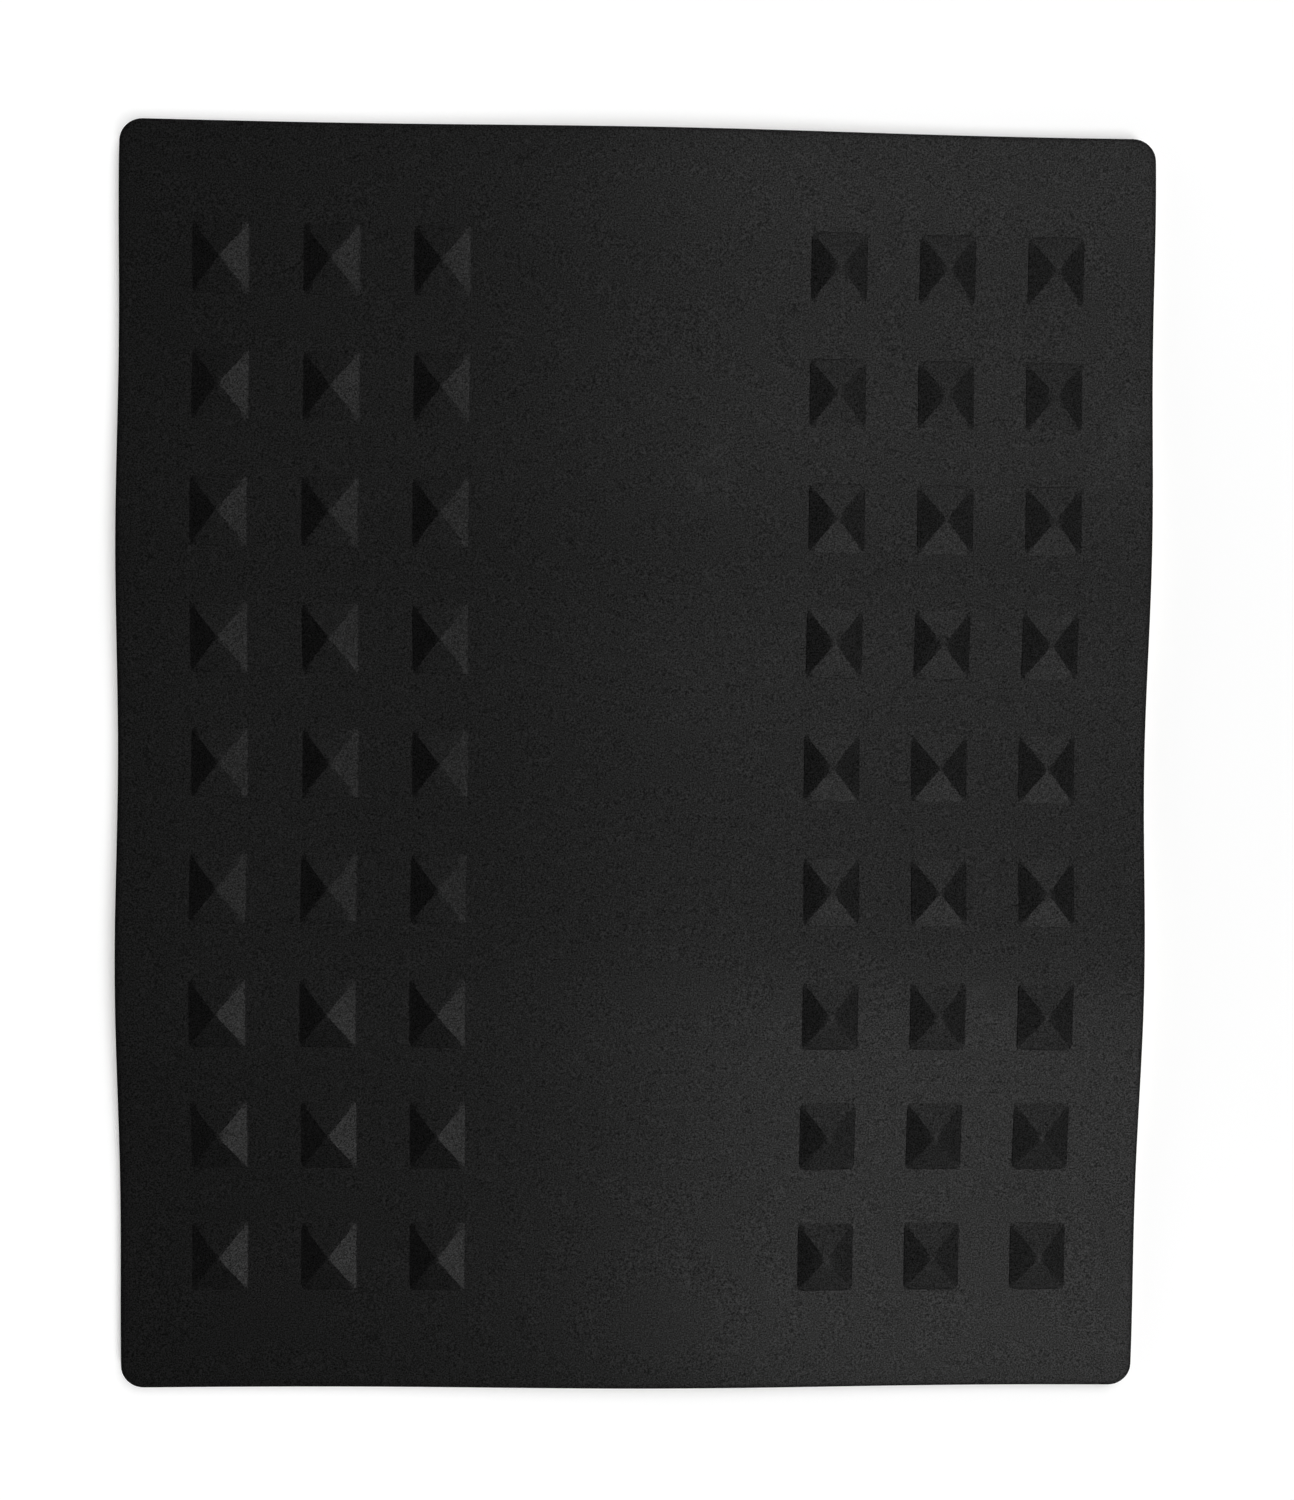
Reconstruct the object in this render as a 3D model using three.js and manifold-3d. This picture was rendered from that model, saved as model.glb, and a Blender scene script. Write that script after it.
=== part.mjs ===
// Snowboard stomp pad: a thin moulded rubber sheet with two blocks of low pyramid studs, a layer of
// pressure-sensitive adhesive on its back, and a release liner in two halves that peels off before the
// pad is stuck to a board.
//
// Millimetres. +Z is up, away from the board. +Y runs along the pad's long side. The origin is the
// centre of the underside, where the pad with its liner rests.

import * as THREE from "three";
import { mergeVertices } from "three/addons/utils/BufferGeometryUtils.js";
import Module from "manifold-3d";

const wasm = await Module();
wasm.setup();

// ---- driving dimensions ----

const PAD_WIDTH = 130;
const PAD_LENGTH = 160;
const SHEET_THICKNESS = 1.6;
const CORNER_RADIUS = 3;
const EDGE_ROUND = 0.4; // the moulded round along the sheet's upper rim

const STUD_COLUMNS = 3; // in each block
const STUD_ROWS = 9;
const STUD_WIDTH = 6.9;
const STUD_LENGTH = 8.5;
const STUD_HEIGHT = 1;
const STUD_FOOT = 0.1; // the short upright step round a stud's base
const STUD_CORNER = 0.5;
const STUD_TIP = 0.6; // width of the blunt top
const COLUMN_PITCH = 13.75;
const ROW_PITCH = 15.7;
const PLAIN_STRIP = 49.6; // between the two innermost columns' centre lines

const ADHESIVE_THICKNESS = 0.25;
const ADHESIVE_INSET = 1;
const LINER_THICKNESS = 0.15;
const LINER_SLIT = 0.3;

// ---- levels, from the underside up ----

const ADHESIVE_BOTTOM = LINER_THICKNESS;
const SHEET_BOTTOM = ADHESIVE_BOTTOM + ADHESIVE_THICKNESS;
const SHEET_TOP = SHEET_BOTTOM + SHEET_THICKNESS;

const EMBED = 0.5; // how far a stud's body reaches down into the sheet that it is one piece with
const RIM_STEPS = 4;
const CORNER_STEPS = 6;
const STUD_CORNER_STEPS = 1;

// ---- shapes ----

// The points of a rectangle with rounded corners, anticlockwise seen from above, at one height.
function roundedLoop(width, length, radius, z, cornerSteps) {
  const points = [];
  for (let corner = 0; corner < 4; corner++) {
    const right = corner === 0 || corner === 3 ? 1 : -1;
    const front = corner < 2 ? 1 : -1;
    const centreX = right * (width / 2 - radius);
    const centreY = front * (length / 2 - radius);
    for (let step = 0; step <= cornerSteps; step++) {
      const angle = (corner + step / cornerSteps) * (Math.PI / 2);
      const x = centreX + radius * Math.cos(angle);
      const y = centreY + radius * Math.sin(angle);
      points.push(new THREE.Vector3(x, y, z));
    }
  }
  return points;
}

// A closed body through a stack of convex loops, lowest first, each with the same number of points.
function loft(loops) {
  const count = loops[0].length;
  const middle = (loop) =>
    loop.reduce((sum, p) => sum.add(p), new THREE.Vector3()).divideScalar(count);
  const bottom = middle(loops[0]);
  const top = middle(loops.at(-1));
  const corners = [];
  for (let i = 0; i < count; i++) {
    const next = (i + 1) % count;
    corners.push(bottom, loops[0][next], loops[0][i]);
    corners.push(top, loops.at(-1)[i], loops.at(-1)[next]);
    for (let level = 1; level < loops.length; level++) {
      const lower = loops[level - 1];
      const upper = loops[level];
      corners.push(lower[i], lower[next], upper[next]);
      corners.push(lower[i], upper[next], upper[i]);
    }
  }
  return new THREE.BufferGeometry().setFromPoints(corners);
}

function toSolid(geometry) {
  const bare = geometry.clone();
  bare.deleteAttribute("normal");
  bare.deleteAttribute("uv");
  const merged = mergeVertices(bare, 1e-4);
  const mesh = new wasm.Mesh({
    numProp: 3,
    vertProperties: merged.attributes.position.array,
    triVerts: new Uint32Array(merged.index.array),
  });
  return new wasm.Manifold(mesh);
}

function toGeometry(solid) {
  const mesh = solid.getMesh();
  const geometry = new THREE.BufferGeometry();
  geometry.setAttribute("position", new THREE.BufferAttribute(mesh.vertProperties, 3));
  geometry.setIndex(new THREE.BufferAttribute(mesh.triVerts, 1));
  geometry.computeVertexNormals();
  return geometry;
}

// ---- the moulding ----

// The sheet: upright sides, and an upper rim rounded by a quarter circle.
function sheet() {
  const loops = [
    roundedLoop(PAD_WIDTH, PAD_LENGTH, CORNER_RADIUS, SHEET_BOTTOM, CORNER_STEPS),
  ];
  for (let step = 0; step <= RIM_STEPS; step++) {
    const angle = (step / RIM_STEPS) * (Math.PI / 2);
    const inset = EDGE_ROUND * (1 - Math.cos(angle));
    const z = SHEET_TOP - EDGE_ROUND + EDGE_ROUND * Math.sin(angle);
    const width = PAD_WIDTH - 2 * inset;
    const length = PAD_LENGTH - 2 * inset;
    loops.push(roundedLoop(width, length, CORNER_RADIUS - inset, z, CORNER_STEPS));
  }
  return loft(loops);
}

// One stud: a short upright foot and four flat faces that rise to a blunt tip.
function stud() {
  const tipLength = (STUD_TIP * STUD_LENGTH) / STUD_WIDTH;
  const foot = (z) =>
    roundedLoop(STUD_WIDTH, STUD_LENGTH, STUD_CORNER, z, STUD_CORNER_STEPS);
  const tip = roundedLoop(
    STUD_TIP, tipLength, STUD_TIP / 4, SHEET_TOP + STUD_HEIGHT, STUD_CORNER_STEPS,
  );
  return loft([foot(SHEET_TOP - EMBED), foot(SHEET_TOP + STUD_FOOT), tip]);
}

// Centres of all the studs: a block of columns on each side of the plain strip.
function studCentres() {
  const centres = [];
  for (const side of [-1, 1]) {
    for (let column = 0; column < STUD_COLUMNS; column++) {
      for (let row = 0; row < STUD_ROWS; row++) {
        const x = side * (PLAIN_STRIP / 2 + column * COLUMN_PITCH);
        const y = (row - (STUD_ROWS - 1) / 2) * ROW_PITCH;
        centres.push([x, y]);
      }
    }
  }
  return centres;
}

function gripPadGeometry() {
  const oneStud = toSolid(stud());
  let moulding = toSolid(sheet());
  for (const [x, y] of studCentres()) {
    moulding = moulding.add(oneStud.translate([x, y, 0]));
  }
  return toGeometry(moulding);
}

// ---- the layers behind it ----

function adhesiveGeometry() {
  const width = PAD_WIDTH - 2 * ADHESIVE_INSET;
  const length = PAD_LENGTH - 2 * ADHESIVE_INSET;
  const radius = CORNER_RADIUS - ADHESIVE_INSET;
  const level = (z) => roundedLoop(width, length, radius, z, CORNER_STEPS);
  return loft([level(ADHESIVE_BOTTOM), level(SHEET_BOTTOM)]);
}

// Half of the release liner, cut from the pad's own outline. side is -1 for the left and 1 for the right.
function linerHalfGeometry(side) {
  const level = (z) => roundedLoop(PAD_WIDTH, PAD_LENGTH, CORNER_RADIUS, z, CORNER_STEPS);
  const whole = toSolid(loft([level(0), level(LINER_THICKNESS)]));
  const cutterWidth = PAD_WIDTH;
  const cutter = new THREE.BoxGeometry(cutterWidth, 2 * PAD_LENGTH, 10 * LINER_THICKNESS);
  cutter.translate((-side * (cutterWidth - LINER_SLIT)) / 2, 0, 0);
  return toGeometry(whole.subtract(toSolid(cutter)));
}

// ---- the assembly ----

const rubber = new THREE.MeshStandardMaterial({ color: 0x1c1c1c, roughness: 0.6, metalness: 0 });
const adhesive = new THREE.MeshStandardMaterial({ color: 0xd8d4c4, roughness: 0.25, metalness: 0 });
const linerPaper = new THREE.MeshStandardMaterial({ color: 0xe6dfcf, roughness: 0.5, metalness: 0 });

function part(name, geometry, material) {
  const mesh = new THREE.Mesh(geometry, material);
  mesh.name = name;
  return mesh;
}

const stompPad = new THREE.Group();
stompPad.add(
  part("grip_pad", gripPadGeometry(), rubber),
  part("adhesive_film", adhesiveGeometry(), adhesive),
  part("release_liner_left", linerHalfGeometry(-1), linerPaper),
  part("release_liner_right", linerHalfGeometry(1), linerPaper),
);

export default stompPad;
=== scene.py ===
"""Snowboard stomp pad: the looks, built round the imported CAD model.

Four pieces are made: the moulded rubber pad with its studs, the adhesive behind it, and the two halves of
the release liner. The pad is loose, so it and the layers stuck to it lie in one gentle roll.
Everything is in metres in the CAD model's frame, and sizes in the panel are shown in Blender's units.
"""

import math

import bpy
import numpy as np
from bpy.props import FloatProperty, FloatVectorProperty, IntProperty, PointerProperty
from mathutils import Euler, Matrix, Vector


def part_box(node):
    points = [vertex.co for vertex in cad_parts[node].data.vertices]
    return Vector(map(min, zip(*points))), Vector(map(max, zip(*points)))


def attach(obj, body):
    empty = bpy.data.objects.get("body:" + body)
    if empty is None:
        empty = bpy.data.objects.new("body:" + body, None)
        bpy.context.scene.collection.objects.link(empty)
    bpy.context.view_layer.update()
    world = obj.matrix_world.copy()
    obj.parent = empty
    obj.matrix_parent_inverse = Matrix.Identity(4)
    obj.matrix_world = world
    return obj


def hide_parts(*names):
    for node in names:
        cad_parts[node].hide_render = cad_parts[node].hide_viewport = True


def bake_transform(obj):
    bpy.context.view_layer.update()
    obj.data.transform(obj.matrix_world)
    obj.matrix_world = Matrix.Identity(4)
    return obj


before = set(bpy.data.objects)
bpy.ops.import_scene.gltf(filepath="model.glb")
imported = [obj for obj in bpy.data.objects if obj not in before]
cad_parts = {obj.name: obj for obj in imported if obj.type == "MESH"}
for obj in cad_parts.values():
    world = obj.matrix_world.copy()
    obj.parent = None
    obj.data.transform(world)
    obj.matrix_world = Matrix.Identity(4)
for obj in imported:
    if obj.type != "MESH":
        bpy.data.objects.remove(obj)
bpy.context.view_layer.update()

bl_info = {
    "name": "Stomp Pad",
    "version": (1, 0, 0),
    "blender": (4, 5, 0),
    "location": "View3D > Sidebar > Stomp Pad",
    "description": "Builds a self-adhesive rubber stomp pad with its release liner and a studio stage",
    "category": "Add Mesh",
}

MM = 0.001
PAD_LOW, PAD_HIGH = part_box("grip_pad")
PAD_WIDTH = PAD_HIGH.x - PAD_LOW.x
PAD_LENGTH = PAD_HIGH.y - PAD_LOW.y

# Name, width and height in metres, power in watts, then where the light stands as seen from the pad: its
# turn from +X in degrees, its lean from straight up in degrees, and its distance in metres.
SOFT_LIGHTS = [
    ("upper_softbox", (0.4, 0.4), 2.7, 60, 31.5, 0.7),
    ("lower_softbox", (0.15, 0.4), 2.8, -57, 30, 0.7),
]
CAMERA_LENS_MM = 38.4
CAMERA_SENSOR_MM = 36.0
CAMERA_PLACE_MM = (-4.85, 8.7, 205.0)
CAMERA_TURN_DEGREES = (-1.9, -1.72, 0.584)
CAMERA_NEAR = 0.01

# Rubbed marks on the pad: middle x and y, half length, half width in mm, and the turn in degrees.
SCUFFS = [
    (46, -31, 10, 3.2, -40),
    (9, 37, 8, 4.5, 65),
    (6.5, -68, 3.6, 1.1, 70),
    (60, 41, 9, 3, 62),
    (-40.6, 55.1, 0.7, 0.5, 30),
]


def length(name, description, default_mm):
    """A length property, given in millimetres and kept in metres."""
    return FloatProperty(name=name, description=description, default=default_mm * MM, min=0, unit="LENGTH")


def colour(name, description, default):
    return FloatVectorProperty(
        name=name, description=description, default=default, size=3, min=0, max=1, subtype="COLOR"
    )


class MouldingSizes(bpy.types.PropertyGroup):
    """Sizes of the rubber moulding."""

    stud_height: length("Stud height", "From the sheet's top to a stud's tip", 1)
    stud_width: length("Stud width", "Across the pad", 6.9)
    stud_length: length("Stud length", "Along the pad", 8.5)
    stud_corner: length("Stud corner radius", "At the stud's base", 0.85)
    stud_foot: length("Stud foot", "Height of the upright step round a stud's base", 0.06)
    tip_round: length("Tip round", "How far a stud's tip is rounded, from its middle", 0.5)
    stud_columns: IntProperty(name="Columns", description="Stud columns in a block", default=3, min=1)
    stud_rows: IntProperty(name="Rows", description="Stud rows", default=9, min=1)
    column_pitch: length("Column pitch", "Between stud columns", 13.75)
    row_pitch: length("Row pitch", "Between stud rows", 15.7)
    plain_strip: length("Plain strip", "Between the innermost columns' centre lines", 49.6)
    corner_radius: length("Corner radius", "Of the pad's outline", 3)
    rim_fall: length("Rim fall", "How far the top falls towards its edge", 0.12)
    rim_width: length("Rim width", "Over which the top falls", 0.7)
    rim_draft: length("Rim draft", "How far the side leans outward", 0.16)


class LieShape(bpy.types.PropertyGroup):
    """How the loose pad rolls and droops on a flat surface."""

    roll_height: length("Roll height", "Of the crests across the pad", 1.05)
    roll_pitch: length("Roll pitch", "From crest to crest", 64)
    crest_y: length("Crest", "Distance of a crest from the middle", 34)
    side_lift: length("Side lift", "Rise of both long sides at mid length", 0.6)
    left_lift: length("Left lift", "Further rise of the left side at mid length", 0.3)
    end_droop: length("End droop", "Fall of the short ends", 0.8)
    bow_height: length("Bow height", "Of the gentle bow along the middle", 0.38)
    bow_pitch: length("Bow pitch", "Twice the bow's width", 84)
    bow_x: length("Bow place", "Distance of the bow's top from the middle", 4)


class Finishes(bpy.types.PropertyGroup):
    """Colours of the three materials."""

    rubber: colour("Rubber", "Moulded rubber", (0.0004, 0.0004, 0.0004))
    scuff: colour("Scuff", "Rubber where it has been rubbed", (0.016, 0.016, 0.016))
    adhesive: colour("Adhesive", "Pressure-sensitive adhesive", (0.62, 0.58, 0.46))
    liner: colour("Liner", "Silicone-coated paper", (0.78, 0.74, 0.64))
    liner_fibre: colour("Liner fibre", "Fibres in the paper", (0.62, 0.55, 0.43))
    floor: colour("Floor", "The stage's floor", (0.9, 0.9, 0.9))


# ---- the shape in which the loose pad lies ----

FADE_MIDDLE = -8 * MM
FADE_HALF_LENGTH = 62 * MM
SIDE_HALF_WAVE = 110 * MM
LEFT_REACH = 18 * MM
LEFT_HALF_WAVE = 60 * MM
LIE_SAMPLES = (131, 161)


def roll(shape, x, y):
    """Height of the rolled sheet over its mean level.

    The sum of five terms: a cosine along the length, which fades and turns over towards the ends as one
    minus a square; the long sides' lift, a square across the width times a slow cosine along the length;
    the left side's own lift, a bell curve across the width times a slow cosine along the length; the ends'
    droop, minus a square along the length; and the bow, a cosine across the width.
    """
    across = x / (PAD_WIDTH / 2)
    along = y / (PAD_LENGTH / 2)
    fade = 1 - ((y - FADE_MIDDLE) / FADE_HALF_LENGTH) ** 2
    crests = np.cos(2 * np.pi * (y - shape.crest_y) / shape.roll_pitch) * fade
    sides = across**2 * np.cos(np.pi * y / SIDE_HALF_WAVE)
    left = np.exp(-(((x + PAD_WIDTH / 2) / LEFT_REACH) ** 2)) * np.cos(np.pi * y / LEFT_HALF_WAVE)
    bow = np.cos(2 * np.pi * (x - shape.bow_x) / shape.bow_pitch)
    lifts = shape.side_lift * sides + shape.left_lift * left
    return shape.roll_height * crests + lifts - shape.end_droop * along**2 + shape.bow_height * bow


def lie(shape, x, y):
    """How far the sheet stands off the surface: the roll, raised until its lowest point touches."""
    all_x = np.linspace(-PAD_WIDTH / 2, PAD_WIDTH / 2, LIE_SAMPLES[0])
    all_y = np.linspace(-PAD_LENGTH / 2, PAD_LENGTH / 2, LIE_SAMPLES[1])
    lowest = roll(shape, all_x[:, None], all_y[None, :]).min()
    return roll(shape, x, y) - lowest


# ---- surfaces ----


def spread(low, high, step):
    """Evenly spaced places from low to high, at most a step apart, without the last one."""
    count = max(1, math.ceil((high - low) / step - 1e-6))
    return np.linspace(low, high, count + 1)[:-1]


def quarter(steps):
    """Angles over a quarter turn, both ends included."""
    return np.linspace(0, math.pi / 2, steps + 1)


def stud_lines(centres, half, stations, low, high, step):
    """Grid lines that fit a row of studs: the same stations inside each stud, even steps between them."""
    lines = []
    start = low
    for centre in centres:
        inside = centre + half * stations
        lines.append(spread(start, inside[0], step))
        lines.append(inside[:-1])
        start = inside[-1]
    lines.append(spread(start, high, step))
    lines.append([high])
    return np.concatenate(lines)


def rectangle_gauge(x, y, half_width, half_length, radius):
    """1 on a rounded rectangle round the origin, 0 at its centre, and even in between.

    It is the scale at which the rectangle would pass through a point: the larger of the two distances
    from the middle over the half sizes, or near a corner the smaller root of the quadratic that puts the
    point on the scaled corner arc.
    """
    x = np.abs(x)
    y = np.abs(y)
    flat = np.maximum(x / half_width, y / half_length)
    arc_x = half_width - radius
    arc_y = half_length - radius
    lead = arc_x**2 + arc_y**2 - radius**2
    along = arc_x * x + arc_y * y
    root = (along - np.sqrt(np.maximum(along**2 - lead * (x**2 + y**2), 0))) / lead
    at_corner = (x > arc_x * root) & (y > arc_y * root)
    return np.where(at_corner, root, flat)


def smooth_step(edge0, edge1, value):
    t = np.clip((value - edge0) / (edge1 - edge0), 0, 1)
    return t * t * (3 - 2 * t)


def solid_from_triangles(name, points, triangles, uv):
    """A smooth-shaded mesh object from arrays, with triangles that have lost an edge left out."""
    a, b, c = triangles.T
    triangles = triangles[(a != b) & (b != c) & (c != a)]
    mesh = bpy.data.meshes.new(name)
    mesh.vertices.add(len(points))
    mesh.vertices.foreach_set("co", points.astype(np.float32).ravel())
    mesh.loops.add(triangles.size)
    mesh.loops.foreach_set("vertex_index", triangles.astype(np.int32).ravel())
    mesh.polygons.add(len(triangles))
    mesh.polygons.foreach_set("loop_start", np.arange(0, triangles.size, 3, dtype=np.int32))
    mesh.polygons.foreach_set("use_smooth", np.ones(len(triangles), bool))
    layer = mesh.uv_layers.new(name="flat_sheet")
    layer.data.foreach_set("uv", uv[triangles.ravel()].astype(np.float32).ravel())
    mesh.update(calc_edges=True)
    if mesh.validate():
        raise RuntimeError(f"the mesh of {name} has faults")
    piece = bpy.data.objects.new(name, mesh)
    bpy.context.scene.collection.objects.link(piece)
    return piece


def grid_triangles(index, other_diagonal):
    """Two triangles for each cell of a grid of vertex numbers, split along either diagonal."""
    a, b = index[:-1, :-1], index[1:, :-1]
    c, d = index[1:, 1:], index[:-1, 1:]
    first = np.where(other_diagonal[..., None], np.stack([a, b, d], -1), np.stack([a, b, c], -1))
    second = np.where(other_diagonal[..., None], np.stack([b, c, d], -1), np.stack([a, c, d], -1))
    return np.concatenate([first.reshape(-1, 3), second.reshape(-1, 3)])


def border(lines_x, lines_y, outline, radii, corner_steps):
    """The loop round a grid, and the outline point and outward direction that each of its vertices faces.

    The loop runs anticlockwise from the right side. Along a side a vertex faces straight out. At a corner
    the grid's corner vertex is repeated, and faces the places along the outline's corner arc.
    """
    last_x, last_y = len(lines_x) - 1, len(lines_y) - 1
    x0, x1, y0, y1 = outline
    loop, places, ways = [], [], []
    corners = [(x1, y1, last_x, last_y), (x0, y1, 0, last_y), (x0, y0, 0, 0), (x1, y0, last_x, 0)]
    up, down = np.arange(1, last_y), np.arange(last_y - 1, 0, -1)
    left, right = np.arange(last_x - 1, 0, -1), np.arange(1, last_x)
    sides = [
        (np.full(len(up), last_x), up),
        (left, np.full(len(left), last_y)),
        (np.zeros(len(down), int), down),
        (right, np.zeros(len(right), int)),
    ]
    for side in range(4):
        angle = side * math.pi / 2
        way = np.array([math.cos(angle), math.sin(angle)])
        i, j = sides[side]
        here = np.stack([lines_x[i], lines_y[j]], -1)
        edge = np.array([x1 if side == 0 else x0, y1 if side == 1 else y0])
        loop.append(np.stack([i, j], -1))
        places.append(np.where(np.abs(way) > 0.5, edge, here))
        ways.append(np.broadcast_to(way, here.shape))
        corner_x, corner_y, i, j = corners[side]
        turn = angle + np.linspace(0, math.pi / 2, corner_steps + 1)
        fan = np.stack([np.cos(turn), np.sin(turn)], -1)
        middle = angle + math.pi / 4
        quadrant = np.sign([math.cos(middle), math.sin(middle)])
        centre = np.array([corner_x, corner_y]) - radii[side] * quadrant
        loop.append(np.tile([i, j], (corner_steps + 1, 1)))
        places.append(centre + radii[side] * fan)
        ways.append(fan)
    return np.concatenate(loop), np.concatenate(places), np.concatenate(ways)


def slab(name, lines_x, lines_y, outline, radii, profile, raise_top, settings, corner_steps=10):
    """A closed sheet: a top and an underside over one grid, joined round the edge by a swept profile.

    profile is the edge's section from the top to the underside, as pairs of a distance in from the outline
    and a height. raise_top adds to the top's height as a function of x and y. Every point is then lifted
    by the shape in which the pad lies.
    """
    grid_x, grid_y = np.meshgrid(lines_x, lines_y, indexing="ij")
    index = np.arange(grid_x.size).reshape(grid_x.shape)
    top = np.stack([grid_x, grid_y, profile[0][1] + raise_top(grid_x, grid_y)], -1).reshape(-1, 3)
    underside = np.stack([grid_x, grid_y, np.full_like(grid_x, profile[-1][1])], -1).reshape(-1, 3)
    loop, places, ways = border(lines_x, lines_y, outline, radii, corner_steps)
    rings = []
    for inset, z in profile:
        flat = places - inset * ways
        rings.append(np.column_stack([flat, np.full(len(flat), z)]))
    points = np.concatenate([top, underside, *rings])
    first_ring = 2 * len(top)
    loop_index = index[loop[:, 0], loop[:, 1]]
    ring_index = first_ring + np.arange(len(rings) * len(loop)).reshape(len(rings), len(loop))
    rows = np.vstack([loop_index, ring_index, loop_index + len(top)])
    rows = np.column_stack([rows, rows[:, 0]])
    middle_x = (lines_x[1:] + lines_x[:-1]) / 2
    middle_y = (lines_y[1:] + lines_y[:-1]) / 2
    crossed = raise_top.other_diagonal(middle_x[:, None], middle_y[None, :])
    plain = np.zeros((rows.shape[0] - 1, rows.shape[1] - 1), bool)
    triangles = np.concatenate(
        [
            grid_triangles(index, crossed),
            grid_triangles(index + len(top), crossed)[:, ::-1],
            grid_triangles(rows, plain),
        ]
    )
    uv = points[:, :2] / np.array([PAD_WIDTH, PAD_LENGTH]) + 0.5
    points[:, 2] += lie(settings.lie, points[:, 0], points[:, 1])
    return solid_from_triangles(name, points, triangles, uv)


class PlainTop:
    """A top with nothing on it."""

    def __call__(self, x, y):
        return np.zeros_like(x)

    def other_diagonal(self, x, y):
        return np.zeros(np.broadcast(x, y).shape, bool)


class StuddedTop:
    """Two blocks of low pyramids with blunt tips.

    A stud's height falls evenly to its base with the larger of the two distances from its middle over its
    half sizes. Near the tip this distance changes smoothly into a round one, and the tip is rounded off by
    a square root: more on some studs than on others, by a sine of the stud's number. Near the base it
    changes smoothly into the gauge of a rectangle with rounded corners. The stud ends in a short upright
    foot just outside that rectangle.
    """

    FOOT_SLOPE = 0.03
    GUARD = 0.03
    CRISP = 0.75
    TIP_VARIATION = 0.45
    TIP_DIP = 0.7
    STATIONS = (0, 0.05, 0.1, 0.16, 0.23, 0.34, 0.75, 0.84, 0.92, 1)

    def __init__(self, sizes):
        self.sizes = sizes
        columns = sizes.plain_strip / 2 + sizes.column_pitch * np.arange(sizes.stud_columns)
        self.column_places = np.concatenate([-columns[::-1], columns])
        rows = np.arange(sizes.stud_rows) - (sizes.stud_rows - 1) / 2
        self.row_places = rows * sizes.row_pitch

    def local(self, x, y):
        """Place within the nearest stud, measured from its middle, and the stud's number."""
        column = np.abs(np.asarray(x)[..., None] - self.column_places).argmin(-1)
        row = np.abs(np.asarray(y)[..., None] - self.row_places).argmin(-1)
        return x - self.column_places[column], y - self.row_places[row], 7 * column + 3 * row

    def stations(self):
        """Grid places across a stud, over its half size: close together at the tip and round the foot."""
        half = [*self.STATIONS, 1 + self.FOOT_SLOPE, 1 + self.FOOT_SLOPE + self.GUARD]
        return np.array([-place for place in half[:0:-1]] + half)

    def __call__(self, x, y):
        sizes = self.sizes
        half_width, half_length = sizes.stud_width / 2, sizes.stud_length / 2
        dx, dy, number = self.local(x, y)
        tip = sizes.tip_round / half_width * (1 + self.TIP_VARIATION * np.sin(number**2))
        square = np.maximum(np.abs(dx) / half_width, np.abs(dy) / half_length)
        circle = np.hypot(dx / half_width, dy / half_length)
        gauge = rectangle_gauge(dx, dy, half_width, half_length, sizes.stud_corner)
        out = circle + (square - circle) * smooth_step(0, 2 * tip, circle)
        out = out + (gauge - square) * smooth_step(self.CRISP, 1, gauge)
        dip = self.TIP_DIP * tip
        fall = (np.hypot(out, dip) - dip) / (np.hypot(1, dip) - dip)
        slope = (sizes.stud_height - sizes.stud_foot) * np.clip(1 - fall, 0, 1)
        return (slope + sizes.stud_foot) * (1 - smooth_step(1, 1 + self.FOOT_SLOPE, gauge))

    def other_diagonal(self, x, y):
        dx, dy, _ = self.local(*np.broadcast_arrays(x, y))
        return dx * dy < 0


# ---- materials ----


class Reading:
    """A number that varies over a surface. Sums, products and powers of readings add Math nodes."""

    def __init__(self, nodes, socket):
        self.nodes = nodes
        self.socket = socket

    def maths(self, operation, *values, clamp=False):
        settings = {"operation": operation, "use_clamp": clamp}
        inputs = dict(enumerate(values))
        return self.nodes.reading("ShaderNodeMath", settings, inputs)

    def __add__(self, other):
        return self.maths("ADD", self, other)

    def __sub__(self, other):
        return self.maths("SUBTRACT", self, other)

    def __mul__(self, other):
        return self.maths("MULTIPLY", self, other)

    def __truediv__(self, other):
        return self.maths("DIVIDE", self, other)

    def __pow__(self, other):
        return self.maths("POWER", self, other)

    def __rsub__(self, other):
        return self.maths("SUBTRACT", other, self)

    def __rtruediv__(self, other):
        return self.maths("DIVIDE", other, self)

    __radd__ = __add__
    __rmul__ = __mul__

    def clamped(self):
        return self.maths("ADD", self, 0, clamp=True)

    def over(self, low, high):
        """0 below low and 1 above high, with a smooth step between them."""
        settings = {"interpolation_type": "SMOOTHSTEP"}
        inputs = {"Value": self, "From Min": low, "From Max": high}
        return self.nodes.reading("ShaderNodeMapRange", settings, inputs)


class Nodes:
    """A node tree under construction."""

    def __init__(self, tree):
        self.tree = tree

    def node(self, kind, settings=None, inputs=None):
        """Adds a node: its settings first, then a value or a link for each named or numbered socket."""
        made = self.tree.nodes.new(kind)
        for key, value in (settings or {}).items():
            setattr(made, key, value)
        for key, value in (inputs or {}).items():
            self.feed(made.inputs[key], value)
        return made

    def feed(self, socket, value):
        if isinstance(value, Reading):
            value = value.socket
        if isinstance(value, bpy.types.NodeSocket):
            self.tree.links.new(value, socket)
        else:
            socket.default_value = value

    def reading(self, kind, settings=None, inputs=None, output=0):
        """The same, as a reading of one of the node's outputs."""
        return Reading(self, self.node(kind, settings, inputs).outputs[output])


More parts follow.
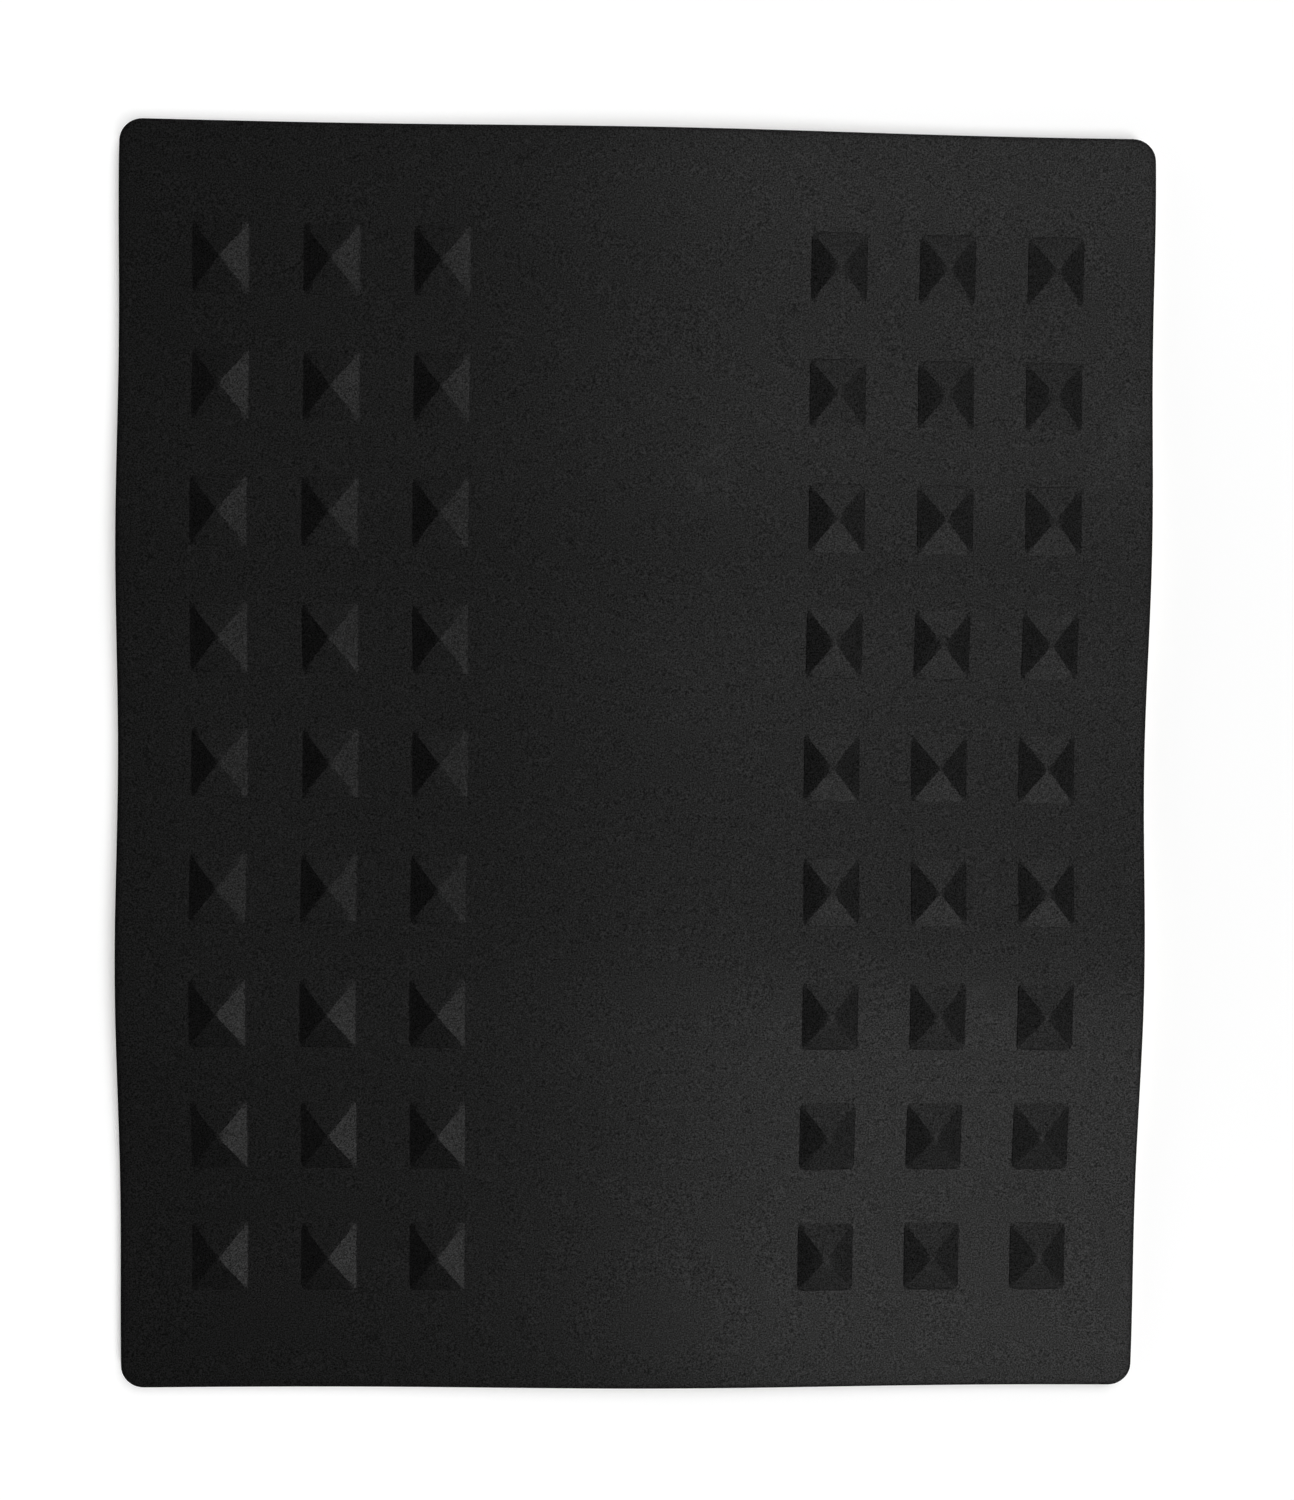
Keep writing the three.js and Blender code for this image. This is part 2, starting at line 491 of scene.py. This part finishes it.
class Finish(Nodes):
    """A material under construction."""

    def __init__(self, name):
        self.material = bpy.data.materials.new(name)
        self.material.use_nodes = True
        super().__init__(self.material.node_tree)
        self.shader = self.tree.nodes["Principled BSDF"]

    def place(self, source, scale):
        """The surface's own coordinates, Object or UV, multiplied by a scale for each axis."""
        coordinates = self.node("ShaderNodeTexCoord").outputs[source]
        scaled = self.node("ShaderNodeVectorMath", {"operation": "MULTIPLY"}, {0: coordinates, 1: scale})
        return scaled.outputs[0]

    def noise(self, place, per_unit, detail=2.0, roughness=0.5, distortion=0.0):
        inputs = {
            "Vector": place,
            "Scale": per_unit,
            "Detail": detail,
            "Roughness": roughness,
            "Distortion": distortion,
        }
        return self.reading("ShaderNodeTexNoise", {}, inputs)

    def mixed(self, share, first, second):
        """A colour between two others."""
        inputs = {0: share, 6: (*first, 1), 7: (*second, 1)}
        return self.node("ShaderNodeMix", {"data_type": "RGBA"}, inputs).outputs[2]

    def relief(self, height, depth, strength=1.0):
        """A normal from a height that runs from 0 to 1 over a depth in metres."""
        inputs = {"Height": height, "Distance": depth, "Strength": strength}
        return self.node("ShaderNodeBump", {}, inputs).outputs["Normal"]

    def set(self, **values):
        for name, value in values.items():
            self.feed(self.shader.inputs[name.replace("_", " ")], value)


PER_MM = (1 / MM,) * 3


def scuffs(finish, place):
    """How rubbed the surface is: a soft ellipse for each mark, broken up by noise."""
    axes = finish.node("ShaderNodeSeparateXYZ", {}, {0: place})
    x = Reading(finish, axes.outputs["X"])
    y = Reading(finish, axes.outputs["Y"])
    total = 0
    for middle_x, middle_y, half_length, half_width, degrees in SCUFFS:
        turn = math.radians(degrees)
        dx = x - middle_x
        dy = y - middle_y
        along = (dx * math.cos(turn) + dy * math.sin(turn)) / half_length
        across = (dy * math.cos(turn) - dx * math.sin(turn)) / half_width
        total = (1 - along * along - across * across).over(0, 1) + total
    streaks = finish.noise(place, 0.55, detail=5, roughness=0.65)
    return total * streaks.over(0.35, 0.75)


def rubber_finish(finishes):
    """Matte moulded rubber: a fine grain from the mould, faint mottling and a few rubbed marks."""
    finish = Finish("moulded_rubber")
    place = finish.place("Object", PER_MM)
    grain = finish.noise(place, 2.4, detail=1, roughness=0.7)
    speckle = finish.noise(place, 5.6, detail=1, roughness=0.6)
    mottle = finish.noise(place, 1.1, detail=3, roughness=0.6)
    cloud = finish.noise(place, 0.045, detail=2)
    rubbed = scuffs(finish, place)
    tone = (rubbed * 0.3 + (speckle - 0.5) * 0.4 + (mottle - 0.5) * 0.1).clamped()
    finish.set(
        Base_Color=finish.mixed(tone, finishes.rubber, finishes.scuff),
        Roughness=0.51 + (cloud - 0.5) * 0.06 - rubbed * 0.05,
        Specular_IOR_Level=0.05,
        Coat_Weight=(0.24 + (speckle - 0.5) * 1.3 + (mottle - 0.5) * 0.06).clamped(),
        Coat_Roughness=0.51,
        Normal=finish.relief(grain, 0.02 * MM),
    )
    return finish.material


def adhesive_finish(finishes):
    """Clear amber adhesive with an orange-peel surface and small trapped bubbles."""
    finish = Finish("adhesive")
    place = finish.place("Object", PER_MM)
    peel = finish.noise(place, 0.8, detail=2)
    flow = finish.noise(place, 0.06, detail=3, distortion=0.8)
    inputs = {"Vector": place, "Scale": 0.22, "Randomness": 1.0}
    bubbles = 1 - finish.reading("ShaderNodeTexVoronoi", {"feature": "F1"}, inputs).over(0.12, 0.2)
    thin = flow.over(0.35, 0.65) * 0.5 + peel * 0.3 + bubbles * 0.7
    darker = tuple(0.62 * part for part in finishes.adhesive)
    finish.set(
        Base_Color=finish.mixed(thin.clamped(), finishes.adhesive, darker),
        Roughness=0.22 + peel * 0.12,
        Normal=finish.relief(peel * 0.6 + bubbles * 0.4, 0.04 * MM),
    )
    return finish.material


def liner_finish(finishes):
    """Silicone-coated kraft paper: pale, slightly glossy, with fine fibres lying mostly one way."""
    finish = Finish("liner_paper")
    place = finish.place("UV", (PAD_WIDTH / MM, PAD_LENGTH / MM, 1))
    stretched = finish.node("ShaderNodeVectorMath", {"operation": "MULTIPLY"}, {0: place, 1: (1, 0.18, 1)})
    fibres = finish.noise(stretched.outputs[0], 1.1, detail=6, roughness=0.75, distortion=0.8)
    pulp = finish.noise(place, 0.12, detail=5, roughness=0.65)
    tooth = finish.noise(place, 3, detail=2)
    tone = fibres.over(0.42, 0.72) * 0.7 + pulp.over(0.4, 0.7) * 0.2
    finish.set(
        Base_Color=finish.mixed(tone.clamped(), finishes.liner, finishes.liner_fibre),
        Roughness=0.38 + pulp * 0.14,
        Normal=finish.relief(tooth * 0.5 + fibres * 0.5, 0.012 * MM),
    )
    return finish.material


LIT_SPOT_MM = (150, 0, 0)
LIT_REACH_MM = 600
FAR_GLOW = 0.88


def floor_finish(finishes):
    """Plain pale card, which the camera sees glow far from the lit spot, where the lights don't reach."""
    finish = Finish("floor_card")
    place = finish.place("Object", PER_MM)
    tooth = finish.noise(place, 0.5, detail=3)
    from_lit = finish.node("ShaderNodeVectorMath", {"operation": "DISTANCE"}, {0: place, 1: LIT_SPOT_MM})
    reach = Reading(finish, from_lit.outputs["Value"]) / LIT_REACH_MM
    glow = FAR_GLOW - FAR_GLOW / (reach * reach + 1) ** 2
    seen = finish.reading("ShaderNodeLightPath", output="Is Camera Ray")
    finish.set(
        Base_Color=(*finishes.floor, 1),
        Roughness=0.9,
        Normal=finish.relief(tooth, 0.01 * MM),
        Emission_Color=finish.mixed(seen * glow, (0, 0, 0), (1, 1, 1)),
        Emission_Strength=1.0,
        Specular_IOR_Level=0.0,
    )
    return finish.material


# ---- operators ----


class STOMP_PAD_OT_moulding(bpy.types.Operator):
    """Build the rubber moulding: the sheet, its rounded rim and the studs"""

    bl_idname = "stomp_pad.moulding"
    bl_label = "Rubber Moulding"

    STEP_BETWEEN_STUDS = 2.3 * MM
    SHARP_DEGREES = 9
    FOOT_ROUND = 0.12 * MM
    RIM_STEPS = 9
    FOOT_STEPS = 3
    TOP_RING = 1.6 * MM
    BACK_RING = 1.5 * MM

    def execute(self, context):
        settings = context.scene.stomp_pad
        sizes = settings.moulding
        studs = StuddedTop(sizes)
        stations = studs.stations()
        radius = sizes.corner_radius
        lines_x = stud_lines(
            studs.column_places, sizes.stud_width / 2, stations,
            PAD_LOW.x + radius, PAD_HIGH.x - radius, self.STEP_BETWEEN_STUDS,
        )
        lines_y = stud_lines(
            studs.row_places, sizes.stud_length / 2, stations,
            PAD_LOW.y + radius, PAD_HIGH.y - radius, self.STEP_BETWEEN_STUDS,
        )
        top = PAD_HIGH.z - sizes.stud_height
        foot = self.FOOT_ROUND
        width, fall, draft = sizes.rim_width, sizes.rim_fall, sizes.rim_draft
        rim = quarter(self.RIM_STEPS)
        upper = [(draft + width * (1 - math.sin(a)), top - fall * (1 - math.cos(a))) for a in rim]
        turns = quarter(self.FOOT_STEPS)
        lower = [(foot * (1 - math.cos(a)), PAD_LOW.z + foot * (1 - math.sin(a))) for a in turns]
        profile = [(self.TOP_RING, top), *upper, *lower, (self.BACK_RING, PAD_LOW.z)]
        outline = (PAD_LOW.x, PAD_HIGH.x, PAD_LOW.y, PAD_HIGH.y)
        pad = slab("pad_moulding", lines_x, lines_y, outline, (radius,) * 4, profile, studs, settings)
        pad.data.set_sharp_from_angle(angle=math.radians(self.SHARP_DEGREES))
        pad.data.materials.append(rubber_finish(settings.finishes))
        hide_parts("grip_pad")
        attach(pad, "pad")
        return {"FINISHED"}


class STOMP_PAD_OT_adhesive(bpy.types.Operator):
    """Build the adhesive layer on the pad's back"""

    bl_idname = "stomp_pad.adhesive"
    bl_label = "Adhesive Layer"

    STEP = 2 * MM
    EDGE_RING = 0.5 * MM
    EDGE_ROUND = 0.03 * MM

    def execute(self, context):
        settings = context.scene.stomp_pad
        low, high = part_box("adhesive_film")
        radius = settings.moulding.corner_radius - (low.x - PAD_LOW.x)
        lines_x = np.append(spread(low.x + radius, high.x - radius, self.STEP), high.x - radius)
        lines_y = np.append(spread(low.y + radius, high.y - radius, self.STEP), high.y - radius)
        middle = (low.z + high.z) / 2
        ring, edge = self.EDGE_RING, self.EDGE_ROUND
        profile = [(ring, high.z), (edge, high.z), (0, middle), (edge, low.z), (ring, low.z)]
        outline = (low.x, high.x, low.y, high.y)
        radii = (radius,) * 4
        film = slab("adhesive_layer", lines_x, lines_y, outline, radii, profile, PlainTop(), settings)
        film.data.materials.append(adhesive_finish(settings.finishes))
        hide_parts("adhesive_film")
        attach(film, "pad")
        return {"FINISHED"}


class STOMP_PAD_OT_liner(bpy.types.Operator):
    """Build the two halves of the release liner, with a finer grid near the pad's long edges, where the
    real liner folds
    """

    bl_idname = "stomp_pad.liner"
    bl_label = "Release Liner"

    STEP = 2 * MM
    FOLD_STEP = 0.25 * MM
    FOLD = 4 * MM
    SLIT_CORNER = 0.2 * MM

    def execute(self, context):
        settings = context.scene.stomp_pad
        material = liner_finish(settings.finishes)
        for side, name in ((-1, "left"), (1, "right")):
            low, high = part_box(f"release_liner_{name}")
            radius = settings.moulding.corner_radius
            edge = PAD_LOW.x if side < 0 else PAD_HIGH.x
            slit = high.x if side < 0 else low.x
            outer = abs(edge) - radius
            inner = abs(slit) + self.SLIT_CORNER
            fold_end = abs(edge) - self.FOLD
            distances = np.concatenate(
                [spread(inner, fold_end, self.STEP), spread(fold_end, outer, self.FOLD_STEP), [outer]]
            )
            lines_x = np.sort(side * distances)
            lines_y = np.append(spread(low.y + radius, high.y - radius, self.STEP), high.y - radius)
            profile = [(0, high.z), (0, low.z)]
            small = self.SLIT_CORNER
            radii = (small, radius, radius, small) if side < 0 else (radius, small, small, radius)
            outline = (low.x, high.x, low.y, high.y)
            half = slab(
                f"liner_{name}_half", lines_x, lines_y, outline, radii, profile, PlainTop(), settings
            )
            half.data.materials.append(material)
            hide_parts(f"release_liner_{name}")
            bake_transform(half)
        return {"FINISHED"}


class STOMP_PAD_OT_stage(bpy.types.Operator):
    """Set up the floor, the soft lights and the camera"""

    bl_idname = "stomp_pad.stage"
    bl_label = "Stage"

    FLOOR_SIZE = 6.0
    WALL_TOP = (0.3, 0.65)
    WALL_GLOW = 0.5

    def execute(self, context):
        settings = context.scene.stomp_pad
        half = self.FLOOR_SIZE / 2
        mesh = bpy.data.meshes.new("floor")
        corners = [(-half, -half, 0), (half, -half, 0), (half, half, 0), (-half, half, 0)]
        mesh.from_pydata(corners, [], [(0, 1, 2, 3)])
        mesh.materials.append(floor_finish(settings.finishes))
        floor = bpy.data.objects.new("floor", mesh)
        context.scene.collection.objects.link(floor)
        self.light_world(context)
        self.add_lights(context)
        self.add_camera(context)
        return {"FINISHED"}

    def light_world(self, context):
        """White where the camera sees it, and for the pad a dim wall all round with black overhead."""
        world = bpy.data.worlds.new("studio")
        world.use_nodes = True
        nodes = Nodes(world.node_tree)
        way = nodes.node("ShaderNodeTexCoord").outputs["Generated"]
        axes = nodes.node("ShaderNodeSeparateXYZ", {}, {0: way})
        wall = self.WALL_GLOW * (1 - Reading(nodes, axes.outputs["Z"]).over(*self.WALL_TOP))
        seen = nodes.reading("ShaderNodeLightPath", output="Is Camera Ray")
        background = world.node_tree.nodes["Background"]
        nodes.feed(background.inputs["Strength"], wall + seen * (1 - wall))
        background.inputs["Color"].default_value = (1, 1, 1, 1)
        context.scene.world = world

    def add_lights(self, context):
        for name, size, power, turn, lean, distance in SOFT_LIGHTS:
            light = bpy.data.lights.new(name, "AREA")
            light.shape = "RECTANGLE"
            light.size, light.size_y = size
            light.energy = power
            lamp = bpy.data.objects.new(name, light)
            way = Vector((0, 0, 1))
            way.rotate(Euler((0, math.radians(lean), math.radians(turn))))
            lamp.location = way * distance
            lamp.rotation_euler = way.to_track_quat("Z", "Y").to_euler()
            context.scene.collection.objects.link(lamp)

    def add_camera(self, context):
        data = bpy.data.cameras.new("camera")
        data.lens = CAMERA_LENS_MM
        data.sensor_width = CAMERA_SENSOR_MM
        data.clip_start = CAMERA_NEAR
        camera = bpy.data.objects.new("camera", data)
        camera.location = Vector(CAMERA_PLACE_MM) * MM
        camera.rotation_euler = Euler([math.radians(a) for a in CAMERA_TURN_DEGREES])
        context.scene.collection.objects.link(camera)
        context.scene.camera = camera


class StompPadSettings(bpy.types.PropertyGroup):
    """Everything the panel shows."""

    moulding: PointerProperty(type=MouldingSizes)
    lie: PointerProperty(type=LieShape)
    finishes: PointerProperty(type=Finishes)


class STOMP_PAD_PT_panel(bpy.types.Panel):
    """The add-on's panel"""

    bl_idname = "STOMP_PAD_PT_panel"
    bl_label = "Stomp Pad"
    bl_space_type = "VIEW_3D"
    bl_region_type = "UI"
    bl_category = "Stomp Pad"

    def draw(self, context):
        settings = context.scene.stomp_pad
        for group in (settings.moulding, settings.lie, settings.finishes):
            box = self.layout.box()
            for key in group.__annotations__:
                box.prop(group, key)
        for operator in OPERATORS:
            self.layout.operator(operator.bl_idname)


OPERATORS = (STOMP_PAD_OT_moulding, STOMP_PAD_OT_adhesive, STOMP_PAD_OT_liner, STOMP_PAD_OT_stage)
CLASSES = (MouldingSizes, LieShape, Finishes, StompPadSettings, *OPERATORS, STOMP_PAD_PT_panel)


def register():
    for kind in CLASSES:
        bpy.utils.register_class(kind)
    bpy.types.Scene.stomp_pad = PointerProperty(type=StompPadSettings)


def unregister():
    del bpy.types.Scene.stomp_pad
    for kind in reversed(CLASSES):
        bpy.utils.unregister_class(kind)


def main():
    register()
    bpy.context.scene.view_settings.view_transform = "Standard"
    bpy.ops.stomp_pad.moulding()
    bpy.ops.stomp_pad.adhesive()
    bpy.ops.stomp_pad.liner()
    bpy.ops.stomp_pad.stage()


if __name__ == "__main__":
    main()
